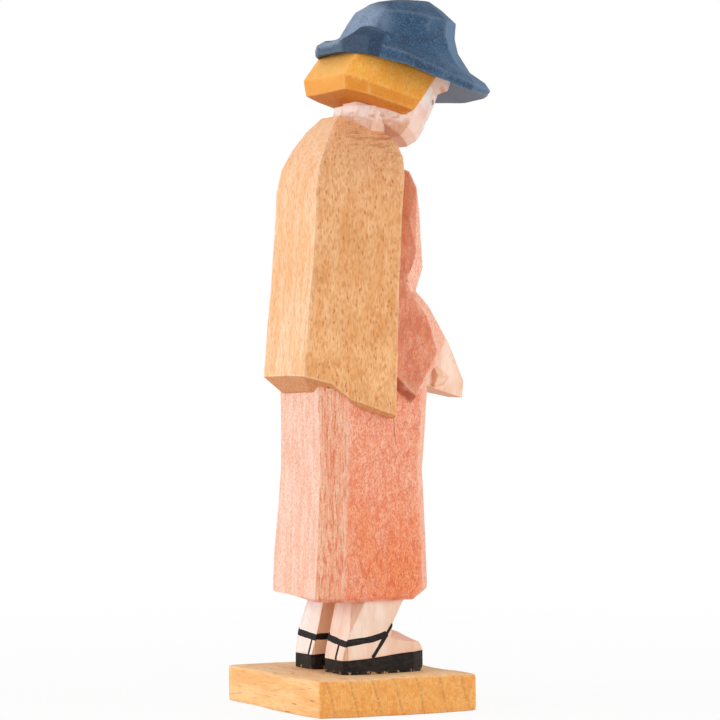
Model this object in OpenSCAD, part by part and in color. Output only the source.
// Nativity shepherd figure: knife-carved wooden blocks, glued and dowelled together and stood on a board.
// Frame: +Z up, the figure looks along -Y, its right hand is on the -X side,
// and the origin is under the middle of the base board. Millimetres.

/* [Carving] */
// Breadth of one small knife cut, which sets the small flats and steps
knife = 1; // [0.8:0.05:1.2]

/* [Base board] */
// Width of the board, side to side
base_w = 37.5; // [32:0.5:50]
// Depth of the board, back to front
base_d = 32.5; // [28:0.5:46]
// Thickness of the board
base_h = 6.8; // [5:0.1:10]
// Rounding of the board's upright corners
base_corner_r = 0.9; // [0.5:0.1:3]

/* [Legs and sandals] */
// Height of the bare legs, from the board to the robe's hem
leg_h = 13.2; // [11:0.1:17]
// Gap between the legs
leg_gap = 5; // [3:0.1:6]
// Width of one foot
foot_w = 7.5; // [6.5:0.1:8.5]
// Length of one foot, heel to toe
foot_l = 17.6; // [16:0.1:20]
// Distance from the middle of the board back to the heels
heel_back = 6.8; // [5.5:0.1:8.5]
// Depth of the calf at the hem
calf_d = 10; // [9.2:0.1:12]
// Depth of the ankle
ankle_d = 8.2; // [7.6:0.1:10]
// Height of the ankle's front above the board
ankle_h = 8; // [7:0.1:9]
// Height of the toes' top above the board
toe_h = 4.4; // [4:0.1:5.5]
// Thickness of the sandal's sole at the heel
sole_heel_t = 2.6; // [1.6:0.1:3]
// Thickness of the sandal's sole at the toe
sole_toe_t = 3.8; // [2.4:0.1:4.2]

/* [Robe] */
// Height of the robe, hem to neck
robe_h = 83; // [76:0.5:92]
// Height of the knees above the hem
knee_h = 24; // [20:0.5:28]
// Height of the waist above the hem
waist_h = 38; // [34:0.5:42]
// Height of the neck above the shoulders
shoulder_h = 13; // [11:0.5:15]
// Half width of the robe at its hem
hem_half_w = 11; // [10:0.1:12.5]
// Half depth of the robe at its hem
hem_half_d = 11.6; // [10:0.1:12.5]
// Half width of the robe at the knees
knee_half_w = 10.2; // [9.6:0.1:11.5]
// Half depth of the robe at the knees
knee_half_d = 10.7; // [9.4:0.1:11.5]
// Half width of the robe at the waist
waist_half_w = 10; // [9.4:0.1:11]
// Half depth of the robe at the waist
waist_half_d = 11.4; // [10:0.1:12]
// Half width of the robe at the shoulders
shoulder_half_w = 9.3; // [8.6:0.1:10.2]
// Half depth of the robe at the shoulders
shoulder_half_d = 8.2; // [7.6:0.1:9]
// Rise of the hem's slanting cut at the front
hem_cut_h = 2.1; // [1.6:0.1:3.2]

/* [Cape] */
// Length of the cape down the back, from the robe's neck to the hem
cape_l = 42.2; // [36:0.1:46]
// Thickness of the cape over the back
cape_back_t = 3.1; // [2.6:0.1:4]
// Thickness of the cape over the arms
cape_side_t = 2.8; // [2.4:0.1:3.6]
// Drop of the cape's hem from the back to the front corner
cape_drop = 7.1; // [4:0.1:9]
// Half width of the flat down the cape's back
cape_flat_half_w = 8.3; // [7.6:0.1:9]
// Distance from the middle forward to the cape's front edge, at the hem
cape_front_hem = 2.6; // [1.5:0.1:3.2]
// Distance from the middle forward to the cape's front edge, at the shoulder
cape_front_shoulder = 4.1; // [3.6:0.1:5]
// Height of the cape's collar above the robe's neck, at the back
collar_h = 5.6; // [4:0.1:6.5]
// Drop of the collar from the back to the front
collar_drop = 3; // [1:0.1:5]

/* [Sleeves and hands] */
// Step from the cape's side in to the sleeve's side
sleeve_step = 0.7; // [0.3:0.1:1.2]
// Height of the elbow's crook below the robe's neck
elbow_drop = 26.8; // [24:0.1:30]
// Height of the sleeve's lowest tip below the robe's neck
cuff_drop = 47.4; // [45:0.1:50]
// Reach of the fingertips in front of the middle
hand_reach = 22.4; // [20.5:0.1:24]
// Height of the hand at the knuckles
hand_h = 9.6; // [8.4:0.1:10.8]
// Thickness of one hand at the knuckles
hand_t = 5; // [4:0.1:5.6]

/* [Head and hair] */
// Length of the neck, from the robe to the head's own centre
neck_l = 6; // [5:0.1:7]
// Width of the neck
neck_w = 11.6; // [10.5:0.1:12.5]
// Depth of the neck
neck_d = 9.6; // [8.8:0.1:10.4]
// Distance of the neck in front of the middle of the board
neck_set = 0.6; // [0:0.1:1.2]
// Distance that the head is carried forward
head_forward = 4.5; // [3.5:0.1:5.5]
// Angle that the head is bowed
head_bow = 30; // [22:1:34]
// Half width of the head at the cheekbones
head_half_w = 8; // [7.4:0.1:8.6]
// Height of the face, chin to brow
face_h = 13; // [12:0.1:14]
// Depth of the face in front of the head's centre
face_d = 9.8; // [9:0.1:11]
// Depth of the skull behind the head's centre
skull_d = 11.2; // [10.4:0.1:12]
// Thickness of the hair
hair_t = 2.9; // [2.2:0.1:3.6]
// Length of the hair below the hat's brim
hair_l = 9.2; // [8.6:0.1:10]

/* [Hat] */
// Angle that the hat tips forward
hat_tilt = 14; // [8:1:20]
// Radius of the brim
brim_r = 17; // [15:0.1:18]
// Thickness of the brim at its rim
brim_t = 2.6; // [2:0.1:3.4]
// Drop of the brim over the ears
brim_droop = 2; // [0.5:0.1:3]
// Radius of the crown where it meets the brim
crown_r = 11.6; // [11:0.1:12.6]
// Height of the crown above the brim
crown_h = 12.7; // [11.5:0.1:15]
// Distance of the hat in front of the head's centre
hat_forward = 6.4; // [5.6:0.1:7.2]
// Height of the brim above the head's centre
hat_up = 8.5; // [7.8:0.1:9.2]
// Number of knife cuts round the hat
hat_cuts = 14; // [12:2:20]

/* [Dowels] */
// Diameter of the two dowels through the legs
leg_dowel_d = 3.2; // [2.4:0.1:3.8]
// Depth of the leg dowels in the robe
leg_dowel_depth = 12; // [8:0.5:20]
// Diameter of the neck dowel
neck_dowel_d = 4; // [3:0.1:5]
// Depth of the neck dowel in the robe
neck_dowel_depth = 10; // [6:0.5:14]
// Diameter of the hat dowel
hat_dowel_d = 3.5; // [2.5:0.1:4.5]
// Depth of the hat dowel in the head, below the brim
hat_dowel_depth = 5; // [3:0.5:7]
// Diameter of the sleeve dowels
sleeve_dowel_d = 2.2; // [1.6:0.1:2.6]
// Diameter of the cape dowels
cape_dowel_d = 2.5; // [2:0.1:3]
// Diameter of the wrist dowels
wrist_dowel_d = 1.6; // [1.2:0.1:2]
// Glue room round a dowel, on the radius
glue_gap = 0.05; // [0.02:0.01:0.1]
// Depth that a dowel's end lies below the face that it comes out of
dowel_sink = 0.4; // [0.2:0.1:1]

/* [Hidden] */
$fn = 48;
RIGHT = -1;
LEFT = 1;

// Heights that stack up from the floor
hem_z = base_h + leg_h;
neck_z = hem_z + robe_h;
knee_z = hem_z + knee_h;
waist_z = hem_z + waist_h;
shoulder_z = neck_z - shoulder_h;
cape_hem_z = neck_z - cape_l;
cape_top_z = neck_z + collar_h;

// The robe's corner cuts, as widths across and along
robe_back_cut = [2.4 * knife, 4.6 * knife];
robe_front_cut = [2.6 * knife, 2.4 * knife];
// Middle of the robe's depth at the knees, the waist and the shoulders, behind the middle of the board
knee_y = -0.2 * knife;
waist_y = -0.7 * knife;
shoulder_y = 0.1 * knife;
neck_half_w = neck_w / 2;
neck_back_y = neck_d / 2 - neck_set;
neck_front_y = -neck_d / 2 - neck_set;
// How late the shoulders round in towards the neck, under the cape, over its back and over the arms
shoulder_curve = 2.3;
cape_curve = 2.6;
arm_curve = 3.4;

leg_in = leg_gap / 2;
leg_out = leg_in + foot_w;
leg_x = (leg_in + leg_out) / 2;
leg_dowel_y = heel_back - 6 * knife;
toe_y = heel_back - foot_l;

// Shapes that every carved block uses

// A whole ring from its +X half, listed from the back round to the front
function both_sides(half) =
    concat(half, [for (i = [len(half) - 1:-1:0]) [-half[i][0], half[i][1], half[i][2]]]);

// Value that is a at share 0 and b at share 1
function between(a, b, share) = a + (b - a) * share;

// A ring of flat cuts on an oval, clockwise from the back, let down at the back by tip
function oval_ring(half_w, back, front, z, cuts, tip = 0) = [for (i = [0:cuts - 1])
    let (a = (i + 0.5) * 360 / cuts)
    [half_w * sin(a), between(front, back, (1 + cos(a)) / 2), z - tip * cos(a)]];

// Middle of a ring, and the sum of a list
function middle(ring) = [for (k = [0:2]) sum([for (p = ring) p[k]]) / len(ring)];
function sum(list, i = 0) = i < len(list) ? list[i] + sum(list, i + 1) : 0;

// A closed solid through rings of points, listed upwards, each ring clockwise as seen from above
module skin(rings) {
    n = len(rings[0]);
    last = len(rings) - 1;
    points = concat([for (ring = rings) each ring], [middle(rings[0]), middle(rings[last])]);
    low = len(points) - 2;
    high = len(points) - 1;
    sides = [for (r = [0:last - 1], i = [0:n - 1])
        let (a = r * n + i, b = r * n + (i + 1) % n, c = a + n, d = b + n)
        each [[a, b, c], [b, d, c]]];
    floor_cap = [for (i = [0:n - 1]) [low, (i + 1) % n, i]];
    roof_cap = [for (i = [0:n - 1]) [high, last * n + i, last * n + (i + 1) % n]];
    polyhedron(points, concat(sides, floor_cap, roof_cap));
}

// A block with flat knife cuts between the points
module block(points) {
    hull() polyhedron(points, [for (i = [0:len(points) - 3]) [i, i + 1, i + 2]]);
}

// Keeps a list of right-hand points, or mirrors it to the left
function on_side(side, points) = [for (p = points) [side * p[0], p[1], p[2]]];

// A round bar from one point to another
module bar(from, to, d) {
    run = to - from;
    translate(from)
        rotate([0, acos(run[2] / norm(run)), atan2(run[1], run[0])])
            cylinder(d = d, h = norm(run));
}

// Robe

// One ring of the robe, from its half width, half depth and middle
function robe_ring(half_w, half_d, y, z) = both_sides([
    [half_w - robe_back_cut[0], y + half_d, z],
    [half_w, y + half_d - robe_back_cut[1], z],
    [half_w, y - half_d + robe_front_cut[1], z],
    [half_w - robe_front_cut[0], y - half_d, z]]);

// Share of the shoulder's breadth that is left at a share of the way up to the neck
function shoulder_share(t) = 1 - pow(t, shoulder_curve);

// Ring of the robe's rounded shoulder
function robe_shoulder_ring(t) = let (s = shoulder_share(t)) robe_ring(
    between(neck_half_w, shoulder_half_w, s),
    between((neck_back_y - neck_front_y) / 2, shoulder_half_d, s),
    between((neck_back_y + neck_front_y) / 2, shoulder_y, s),
    between(shoulder_z, neck_z, t));

// Lowest ring, drawn in at the front by the hem's slanting cut
hem_draw = 4.4 * knife;
function robe_hem_ring() = [for (p = robe_ring(hem_half_w - 0.3 * knife, hem_half_d, 0, hem_z))
    [p[0], max(p[1], hem_draw - hem_half_d), p[2]]];

module robe_block() {
    skin(concat(
        [robe_hem_ring(),
            robe_ring(hem_half_w, hem_half_d, 0, hem_z + hem_cut_h),
            robe_ring(knee_half_w, knee_half_d, knee_y, knee_z),
            robe_ring(waist_half_w, waist_half_d, waist_y, waist_z)],
        [for (t = [0, 0.4, 0.7, 1]) robe_shoulder_ring(t)]));
}

module robe() {
    color([0.91, 0.6, 0.47]) difference() {
        robe_block();
        leg_dowel_holes();
        neck_dowel(glue_gap);
        for (side = [RIGHT, LEFT]) {
            sleeve_dowel(side, glue_gap);
            cape_dowel(side, glue_gap);
        }
    }
}

// Cape

// Shares of the way from the back to the front edge where the hem's cuts meet, its drop there,
// and how much of the under-cut is left there
hem_cuts = [0, 0.3, 0.5, 1];
hem_drops = [0, 0.2, 0.59, 1];
hem_unders = [1, 0.85, 0.45, 0.2];
// The hem's under-cut, across and down
under_cut = 2.4 * knife;
under_cut_h = 2.8 * knife;

// One ring of the cape's outside, let down towards its front edge by drop
function cape_ring(half_w, flat, back, front, z, drop) = both_sides([for (s = hem_cuts)
    [between(flat, half_w, s), between(back, front, s), z - drop * s]]);

// One ring of the hem, which follows the hem's own drop; under is 1 on the under-cut's inner edge
function cape_hem_ring(under) = both_sides([for (i = [0:len(hem_cuts) - 1])
    let (s = hem_cuts[i], cut = under * hem_unders[i], inset = cut * under_cut)
    [between(cape_flat_half_w, waist_half_w + cape_side_t, s) - inset,
        between(waist_y + waist_half_d + cape_back_t - inset, -cape_front_hem, s),
        cape_hem_z - cape_drop * hem_drops[i] - cut * under_cut_h]]);

// How far the front edge swells forward over the shoulder
shoulder_swell = 1.1 * knife;

function cape_shoulder_ring(t) = let (s = 1 - pow(t, cape_curve)) cape_ring(
    between(neck_half_w, shoulder_half_w + cape_side_t, 1 - pow(t, arm_curve)),
    between(neck_half_w - 2.2 * knife, cape_flat_half_w, s),
    between(neck_back_y, shoulder_y + shoulder_half_d + cape_back_t, s),
    between(neck_front_y + knife, -cape_front_shoulder, s) - shoulder_swell * 6.75 * t * t * (1 - t),
    between(shoulder_z, cape_top_z, t),
    collar_drop * t);

module cape_block() {
    skin(concat([cape_hem_ring(1), cape_hem_ring(0)],
        [for (t = [0, 0.25, 0.48, 0.68, 0.86, 1]) cape_shoulder_ring(t)]));
}

module cape() {
    color([0.85, 0.66, 0.42]) difference() {
        cape_block();
        robe_block();
        head_block();
        for (side = [RIGHT, LEFT]) cape_dowel(side, glue_gap);
    }
}

// Sleeves

sleeve_x = waist_half_w + cape_side_t - sleeve_step;
sleeve_top_x = shoulder_half_w + cape_side_t - sleeve_step;
elbow_z = neck_z - elbow_drop;
cuff_z = neck_z - cuff_drop;
chest_y = shoulder_y - shoulder_half_d;
belly_y = waist_y - waist_half_d;
// The sleeve reaches behind the cape's edge, which then trims it
sleeve_back_y = -cape_front_hem;
// Points inside the robe, which then trims the sleeve
sleeve_root_x = 4 * knife;
cuff_root_x = 1.4 * knife;
wrist_y = belly_y - 3 * knife;
wrist_top_z = elbow_z - 6.4 * knife;
wrist_low_z = elbow_z - 14 * knife;

module upper_arm(side) {
    block(on_side(side, [
        [sleeve_top_x - 3.6 * knife, sleeve_back_y, neck_z - 3 * knife],
        [sleeve_root_x, sleeve_back_y, neck_z - 3 * knife],
        [sleeve_top_x - 3 * knife, chest_y + 0.4 * knife, neck_z - 4.6 * knife],
        [sleeve_top_x - 2.8 * knife, chest_y - 1.1 * knife, neck_z - 7.5 * knife],
        [sleeve_root_x, chest_y, neck_z - 5 * knife],
        [sleeve_top_x - 1.4 * knife, sleeve_back_y, neck_z - 7 * knife],
        [sleeve_top_x - 0.4 * knife, sleeve_back_y, neck_z - 13 * knife],
        [sleeve_top_x - 0.6 * knife, chest_y + 1.6 * knife, neck_z - 14 * knife],
        [sleeve_top_x - 2.2 * knife, chest_y - 1.5 * knife, neck_z - 13 * knife],
        [sleeve_x - 0.6 * knife, chest_y + 0.6 * knife, neck_z - 20 * knife],
        [sleeve_x - 2.6 * knife, chest_y - 1.8 * knife, neck_z - 22.2 * knife],
        [sleeve_root_x, chest_y - 1.4 * knife, neck_z - 22 * knife],
        [sleeve_x - 0.4 * knife, sleeve_back_y, elbow_z + 2 * knife],
        [sleeve_x - 0.2 * knife, chest_y + 2.6 * knife, elbow_z + 2.4 * knife],
        [sleeve_x - 3 * knife, chest_y, elbow_z - knife],
        [sleeve_root_x, chest_y, elbow_z - 2 * knife]]));
}

module forearm(side) {
    block(on_side(side, [
        [sleeve_x - 0.4 * knife, sleeve_back_y, elbow_z + 3 * knife],
        [sleeve_root_x, sleeve_back_y, elbow_z + 2 * knife],
        [sleeve_x - 0.2 * knife, chest_y + 3 * knife, elbow_z + 2 * knife],
        [sleeve_x - 1.2 * knife, chest_y - 0.2 * knife, elbow_z - 0.4 * knife],
        [sleeve_root_x, chest_y - knife, elbow_z],
        [sleeve_x - 0.7 * knife, wrist_y + 5.2 * knife, elbow_z - 4.8 * knife],
        [sleeve_x - 3.5 * knife, wrist_y + 3.2 * knife, elbow_z - 2.8 * knife],
        [hand_t + 1.6 * knife, wrist_y + 0.3 * knife, wrist_top_z + 0.6 * knife],
        [hand_t - 0.6 * knife, wrist_y - 2.4 * knife, wrist_top_z - 1.9 * knife],
        [cuff_root_x, wrist_y - 2.5 * knife, wrist_top_z - 1.5 * knife],
        [sleeve_x - 1.1 * knife, wrist_y + 2.9 * knife, wrist_low_z + 3.4 * knife],
        [sleeve_x - 1.7 * knife, wrist_y + 2.9 * knife, wrist_low_z + 0.6 * knife],
        [cuff_root_x, wrist_y + knife, wrist_low_z - 1.4 * knife],
        [sleeve_x - 0.4 * knife, sleeve_back_y, cuff_z + 6 * knife],
        [sleeve_x - 0.3 * knife, chest_y + 0.8 * knife, cuff_z + 1.6 * knife],
        [sleeve_x - 2.2 * knife, chest_y + knife, cuff_z],
        [sleeve_x - 2.6 * knife, sleeve_back_y, cuff_z + 3.4 * knife],
        [sleeve_root_x, sleeve_back_y, cuff_z + 4 * knife]]));
}

module sleeve(side) {
    color([0.87, 0.52, 0.4]) difference() {
        union() {
            upper_arm(side);
            forearm(side);
        }
        robe_block();
        cape_block();
        sleeve_dowel(side, glue_gap);
        wrist_dowel(side, glue_gap);
    }
}

// Hands, pressed together palm to palm on the middle plane

finger_y = -hand_reach;
knuckle_y = between(wrist_y, finger_y, 0.4);
hand_top_z = wrist_top_z - 1.8 * knife;
hand_low_z = hand_top_z - hand_h;

module hand_block(side) {
    block(on_side(side, [
        [hand_t + knife, wrist_y + 3 * knife, hand_top_z - knife],
        [0, wrist_y + 2 * knife, hand_top_z + 0.4 * knife],
        [hand_t + knife, wrist_y + 2.4 * knife, hand_low_z + 0.6 * knife],
        [0, wrist_y + 2.6 * knife, hand_low_z],
        [hand_t - knife, knuckle_y, hand_top_z - 0.4 * knife],
        [0, knuckle_y - 0.4 * knife, hand_top_z],
        [hand_t, knuckle_y + 0.6 * knife, hand_low_z + 4.4 * knife],
        [hand_t - 1.4 * knife, knuckle_y + 0.6 * knife, hand_low_z - 0.2 * knife],
        [0, knuckle_y + 0.6 * knife, hand_low_z - 0.4 * knife],
        [hand_t - 2.2 * knife, finger_y + 0.2 * knife, hand_low_z + 1.6 * knife],
        [0, finger_y, hand_low_z + 1.8 * knife],
        [hand_t - 2.6 * knife, finger_y + 0.2 * knife, hand_low_z - 1.6 * knife],
        [0, finger_y, hand_low_z - 1.6 * knife]]));
}

module hand(side) {
    color([0.95, 0.81, 0.72]) difference() {
        hand_block(side);
        upper_arm(side);
        forearm(side);
        robe_block();
        wrist_dowel(side, glue_gap);
    }
}

// Legs and sandals

// Side outline of a leg and foot, sawn from the board up to the hem
calf_back_y = heel_back - 2.5 * knife;
ankle_back_y = heel_back - 1.4 * knife;

function leg_outline() = [
    [heel_back, base_h],
    [heel_back, base_h + sole_heel_t],
    [ankle_back_y, base_h + ankle_h],
    [calf_back_y, hem_z],
    [calf_back_y - calf_d, hem_z],
    [ankle_back_y - ankle_d, base_h + ankle_h],
    [toe_y + 1.2 * knife, base_h + toe_h + 1.2 * knife],
    [toe_y, base_h + toe_h - 0.4 * knife],
    [toe_y, base_h + knife],
    [toe_y + 0.8 * knife, base_h]];

// Outline of the foot as seen from above, with its corners cut
function foot_plan() = [
    [leg_in + 0.4 * knife, heel_back],
    [leg_out - 0.5 * knife, heel_back - 0.2 * knife],
    [leg_out, heel_back - 1.1 * knife],
    [leg_out, toe_y + 3 * knife],
    [leg_out - 2 * knife, toe_y],
    [leg_in + 0.8 * knife, toe_y],
    [leg_in, toe_y + 1.4 * knife],
    [leg_in, heel_back - 0.6 * knife]];

// Wedge off the calf's outer back corner, which starts above the heel and widens towards the hem
module calf_cut(side) {
    start_z = base_h + 0.7 * ankle_h;
    end_z = hem_z + knife;
    block(on_side(side, [
        [leg_out + 0.4 * knife, heel_back - 0.9 * knife, start_z],
        [leg_out - 0.4 * knife, heel_back + 0.6 * knife, start_z],
        [leg_out + 3 * knife, heel_back + 3 * knife, start_z],
        [leg_out + 0.7 * knife, heel_back - 6 * knife, end_z],
        [leg_out - 4.2 * knife, heel_back + knife, end_z],
        [leg_out + 3 * knife, heel_back + 3 * knife, end_z]]));
}

// The sandal's sole lies below a plane that rises towards the toe
module sole_space() {
    rotate([90, 0, 90]) linear_extrude(height = base_w, center = true) polygon([
        [heel_back + base_d, 0],
        [heel_back + base_d, base_h + sole_heel_t],
        [heel_back, base_h + sole_heel_t],
        [toe_y, base_h + sole_toe_t],
        [toe_y - base_d, base_h + sole_toe_t],
        [toe_y - base_d, 0]]);
}

module leg_block(side) {
    difference() {
        intersection() {
            translate([side * leg_x, 0, 0]) rotate([90, 0, 90])
                linear_extrude(height = foot_w, center = true) polygon(leg_outline());
            mirror([side == RIGHT ? 1 : 0, 0, 0])
                linear_extrude(height = hem_z) polygon(foot_plan());
        }
        calf_cut(side);
    }
}

module leg(side) {
    color([0.95, 0.82, 0.72]) difference() {
        leg_block(side);
        sole_space();
        leg_dowel(side, glue_gap);
    }
}

module sandal(side) {
    color([0.13, 0.12, 0.13]) difference() {
        intersection() {
            leg_block(side);
            sole_space();
        }
        leg_dowel(side, glue_gap);
    }
}

// Base board

module base_board() {
    x = base_w / 2 - base_corner_r;
    y = base_d / 2 - base_corner_r;
    color([0.9, 0.68, 0.38]) difference() {
        union() {
            translate([-base_w / 2, -y, 0]) cube([base_w, 2 * y, base_h]);
            translate([-x, -base_d / 2, 0]) cube([2 * x, base_d, base_h]);
            for (i = [-x, x], j = [-y, y])
                translate([i, j, 0]) cylinder(r = base_corner_r, h = base_h);
        }
        leg_dowel_holes();
    }
}

// Head, hair and hat

head_at = [0, -head_forward, neck_z + neck_l];
hat_at = head_at + [0, -hat_forward, hat_up];
chin_z = -1.6 * knife;
brow_z = chin_z + face_h;

module on_head() {
    translate(head_at) rotate([head_bow, 0, 0]) children();
}

module on_hat() {
    translate(hat_at) rotate([hat_tilt, 0, 0]) children();
}

// One ring of the head: half width of the face's front, half width, front, and back
function head_ring(front_w, half_w, front, back, z) = both_sides([
    [half_w * 0.5, back, z],
    [half_w, between(front, back, 0.62), z],
    [half_w, between(front, back, 0.3), z],
    [between(front_w, half_w, 0.55), between(front, back, 0.1), z],
    [front_w, front, z]]);

// The head's rings from the chin up, in knife cuts: half width of the front flat, step in from the
// cheekbones, step back from the face's front, depth behind the centre short of the skull's; then the
// height as a share of the face's
face_cuts = [
    [1.6, 3.4, 1.4, 7.2, 0],
    [2.2, 2.2, 0.5, 5.2, 0.14],
    [2.4, 1, 0.3, 2.2, 0.34],
    [2.8, 0, 0.7, 0, 0.5],
    [3, 0, 1.6, 1.4, 0.82],
    [3.2, 0, -0.2, 3.4, 1],
    [3.2, 0.4, 0.4, 5.8, 1.22],
    [2, 2.6, 4.4, 9.4, 1.46]];

module face_block() {
    skin([for (c = face_cuts) head_ring(
        c[0] * knife,
        head_half_w - c[1] * knife,
        -face_d + c[2] * knife,
        skull_d - c[3] * knife,
        chin_z + c[4] * face_h)]);
}

module nose() {
    block([
        [0, -face_d - 0.2 * knife, brow_z - 0.6 * knife],
        [-1.7 * knife, -face_d + 0.9 * knife, chin_z + 0.5 * face_h],
        [1.7 * knife, -face_d + 0.9 * knife, chin_z + 0.5 * face_h],
        [0, -face_d - 0.7 * knife, chin_z + 0.54 * face_h],
        [0, -face_d + 3 * knife, chin_z + 0.5 * face_h],
        [0, -face_d + 3 * knife, brow_z - 0.6 * knife]]);
}

// The neck stands on the robe and runs up into the head; the throat leans forward more than the nape
neck_cuts = 10;
neck_lean = head_forward * 0.7;

module neck() {
    top_z = neck_z + neck_l + 1.5 * knife;
    taper = 0.8 * knife;
    top_back_y = neck_back_y - 0.2 * neck_lean - taper;
    top_front_y = neck_front_y - neck_lean + taper;
    skin([
        oval_ring(neck_half_w, neck_back_y, neck_front_y, neck_z, neck_cuts),
        oval_ring(neck_half_w - taper, top_back_y, top_front_y, top_z, neck_cuts)]);
}

module head_block() {
    neck();
    on_head() {
        face_block();
        nose();
    }
}

module head() {
    color([0.95, 0.81, 0.73]) difference() {
        head_block();
        neck_dowel(glue_gap);
        hat_dowel(glue_gap);
    }
}

hair_half_w = head_half_w + hair_t - 0.5 * knife;
// Back of the hair, from the hat's own centre
hair_back = skull_d + hair_t + 0.26 * hat_forward;
// Front of the blocks that the hair is cut from, which lies inside the head
hair_front = -0.7 * face_d;
// Cuts that take off the hair's back corners, across and along, and its front corners
hair_corner = [2.2 * knife, 3.8 * knife];
lock_corner = 2 * knife;

// The hair's rings from the nape up: step in from the sides, from the back and from the front, in
// knife cuts, then the height as a share of the hair's length, and the lift of the back and front
hair_rings = [
    [2.4, 4.8, 2, -1, 0.5, -0.5],
    [0.4, 1.2, 0, -0.91, 0, 0],
    [0.1, 0.2, 0, -0.68, 0.5, 0],
    [0.6, 2.1, 0, -0.13, 0, 0],
    [2.2, 4.3, 1, 0.21, 0, 0]];

function hair_ring(half_w, back, front, z, back_lift, front_lift) = both_sides([
    [half_w - hair_corner[0], back, z + back_lift],
    [half_w, back - hair_corner[1], z + 0.4 * back_lift],
    [half_w, between(front, back, 0.45), z],
    [half_w - lock_corner, front, z + front_lift]]);

module hair_block() {
    on_hat() skin([for (c = hair_rings) hair_ring(
        hair_half_w - c[0] * knife,
        hair_back - c[1] * knife,
        hair_front + c[2] * knife,
        c[3] * hair_l,
        c[4] * knife,
        c[5] * knife)]);
}

// Everything in front of the side locks is face; the locks slant back towards their tips
lock_slant = 10;

module face_opening() {
    lock_y = -0.45 * face_d;
    room = 4 * face_d;
    on_head() translate([0, lock_y, brow_z]) rotate([lock_slant, 0, 0])
        translate([-room, -room, -room]) cube([2 * room, room, 2 * room]);
}

module hair() {
    color([0.89, 0.62, 0.22]) difference() {
        hair_block();
        face_opening();
        head_block();
        hat_dowel(glue_gap);
    }
}

// How far round to the ears the brim droops most, and the share of the droop at a place round the brim
ear_angle = 105;
function droop_share(a) = pow(max(0, cos((a > 180 ? 360 - a : a) - ear_angle)), 4);

// One ring of the hat: an oval of knife cuts, let down over the ears by droop and at the back by tip
function hat_ring(r, y, z, droop, tip) = let (ring = oval_ring(r, y + r, y - r, z, hat_cuts, tip * r))
    [for (i = [0:hat_cuts - 1])
        ring[i] - [0, 0, droop * droop_share((i + 0.5) * 360 / hat_cuts)]];

module hat_block() {
    crown_y = 0.17 * crown_h;
    level = tan(hat_tilt);
    bevel = 0.5 * brim_t;
    rim_z = 0.4 * knife;
    back_lift = 0.12 * level;
    flare_r = between(crown_r, brim_r, 0.32);
    on_hat() skin([
        hat_ring(crown_r - 2 * knife, 0.5 * crown_y, 0.4 * knife, 0, 0),
        hat_ring(brim_r - 0.5 * bevel, 0, rim_z - bevel - 0.2 * knife, brim_droop, 0.06 * level),
        hat_ring(brim_r, 0, rim_z, brim_droop, -back_lift),
        hat_ring(brim_r - bevel, 0, rim_z + bevel, brim_droop, -back_lift),
        hat_ring(flare_r, 0.4 * crown_y, 0.19 * crown_h, brim_droop / 2, -0.08 * level),
        hat_ring(crown_r - 0.2 * knife, 0.9 * crown_y, 0.32 * crown_h, 0, 0.3 * level),
        hat_ring(crown_r - 1.2 * knife, crown_y, 0.52 * crown_h, 0, 0.4 * level),
        hat_ring(crown_r - 2 * knife, 0.8 * crown_y, 0.74 * crown_h, 0, 0.5 * level),
        hat_ring(crown_r - 4.8 * knife, crown_y, 0.9 * crown_h, 0, 0.6 * level),
        hat_ring(crown_r - 7.6 * knife, crown_y, crown_h, 0, level)]);
}

module hat() {
    color([0.25, 0.37, 0.5]) difference() {
        hat_block();
        difference() {
            hair_block();
            face_opening();
        }
        head_block();
        hat_dowel(glue_gap);
    }
}

// Dowels, each drawn with extra radius when it is a hole

module leg_dowel(side, extra) {
    from = extra > 0 ? -dowel_sink : dowel_sink;
    to = hem_z + leg_dowel_depth + (extra > 0 ? dowel_sink : 0);
    translate([side * leg_x, leg_dowel_y, from])
        cylinder(r = leg_dowel_d / 2 + extra, h = to - from);
}

module leg_dowel_holes() {
    for (side = [RIGHT, LEFT]) leg_dowel(side, glue_gap);
}

module neck_dowel(extra) {
    end = extra > 0 ? dowel_sink : 0;
    translate([0, -neck_set - neck_lean / 2, neck_z - neck_dowel_depth - end])
        cylinder(r = neck_dowel_d / 2 + extra, h = neck_dowel_depth + neck_l + 2 * end);
}

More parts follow.
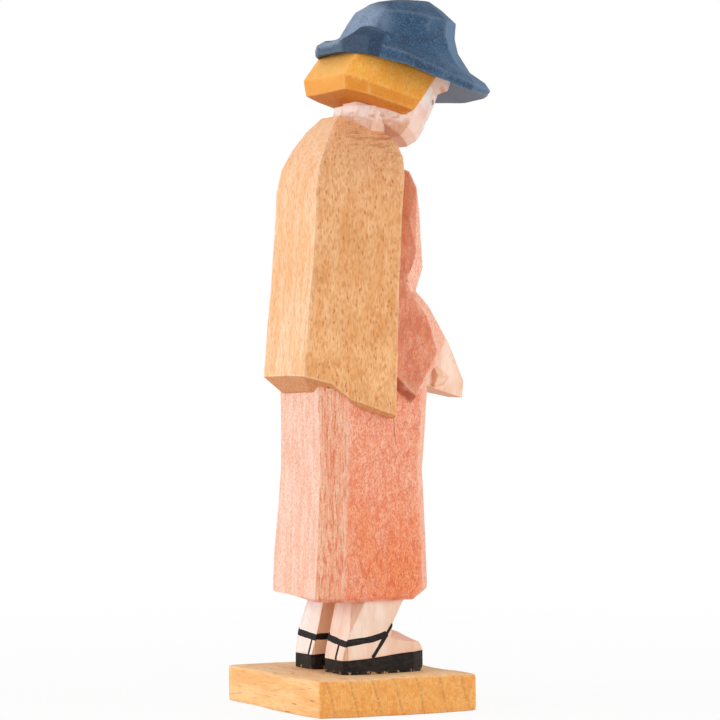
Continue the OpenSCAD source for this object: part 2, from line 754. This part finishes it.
module hat_dowel(extra) {
    end = extra > 0 ? dowel_sink : 0;
    on_hat() translate([0, 0.25 * crown_r, -hat_dowel_depth - end])
        cylinder(r = hat_dowel_d / 2 + extra, h = hat_dowel_depth + 0.6 * crown_h + 2 * end);
}

// From the robe's front into the thick of the forearm, above the wrist dowel
module sleeve_dowel(side, extra) {
    end = extra > 0 ? dowel_sink : 0;
    x = side * (hand_t + 1.6 * knife);
    z = wrist_top_z - 0.6 * knife;
    robe_y = between(belly_y, chest_y, (z - waist_z) / (shoulder_z - waist_z));
    bar([x, robe_y + 4 * knife + end, z], [x, robe_y - 2.4 * knife - end, z], sleeve_dowel_d + 2 * extra);
}

module wrist_dowel(side, extra) {
    end = extra > 0 ? dowel_sink : 0;
    root = [side * (hand_t + 1.2 * knife), wrist_y + 3 * knife, between(wrist_low_z, wrist_top_z, 0.5)];
    tip = [side * hand_t / 2, knuckle_y + 0.4 * knife, between(hand_low_z, hand_top_z, 0.5)];
    along = (tip - root) / norm(tip - root);
    bar(root - along * end, tip + along * end, wrist_dowel_d + 2 * extra);
}

module cape_dowel(side, extra) {
    end = extra > 0 ? dowel_sink : 0;
    z = between(waist_z, shoulder_z, 0.6);
    back = shoulder_y + shoulder_half_d;
    x = side * cape_flat_half_w * 0.55;
    bar([x, back - 5 * knife - end, z], [x, back + cape_back_t * 0.6 + end, z], cape_dowel_d + 2 * extra);
}

module dowel_wood() {
    color([0.82, 0.7, 0.52]) children();
}

base_board();
sandal(RIGHT);  // right_sandal
sandal(LEFT);  // left_sandal
leg(RIGHT);  // right_leg
leg(LEFT);  // left_leg
robe();
cape();
sleeve(RIGHT);  // right_sleeve
sleeve(LEFT);  // left_sleeve
hand(RIGHT);  // right_hand
hand(LEFT);  // left_hand
head();
hair();
hat();
dowel_wood() for (side = [RIGHT, LEFT]) leg_dowel(side, 0);  // leg_dowels
dowel_wood() neck_dowel(0);
dowel_wood() hat_dowel(0);
dowel_wood() for (side = [RIGHT, LEFT]) sleeve_dowel(side, 0);  // sleeve_dowels
dowel_wood() for (side = [RIGHT, LEFT]) wrist_dowel(side, 0);  // wrist_dowels
dowel_wood() for (side = [RIGHT, LEFT]) cape_dowel(side, 0);  // cape_dowels
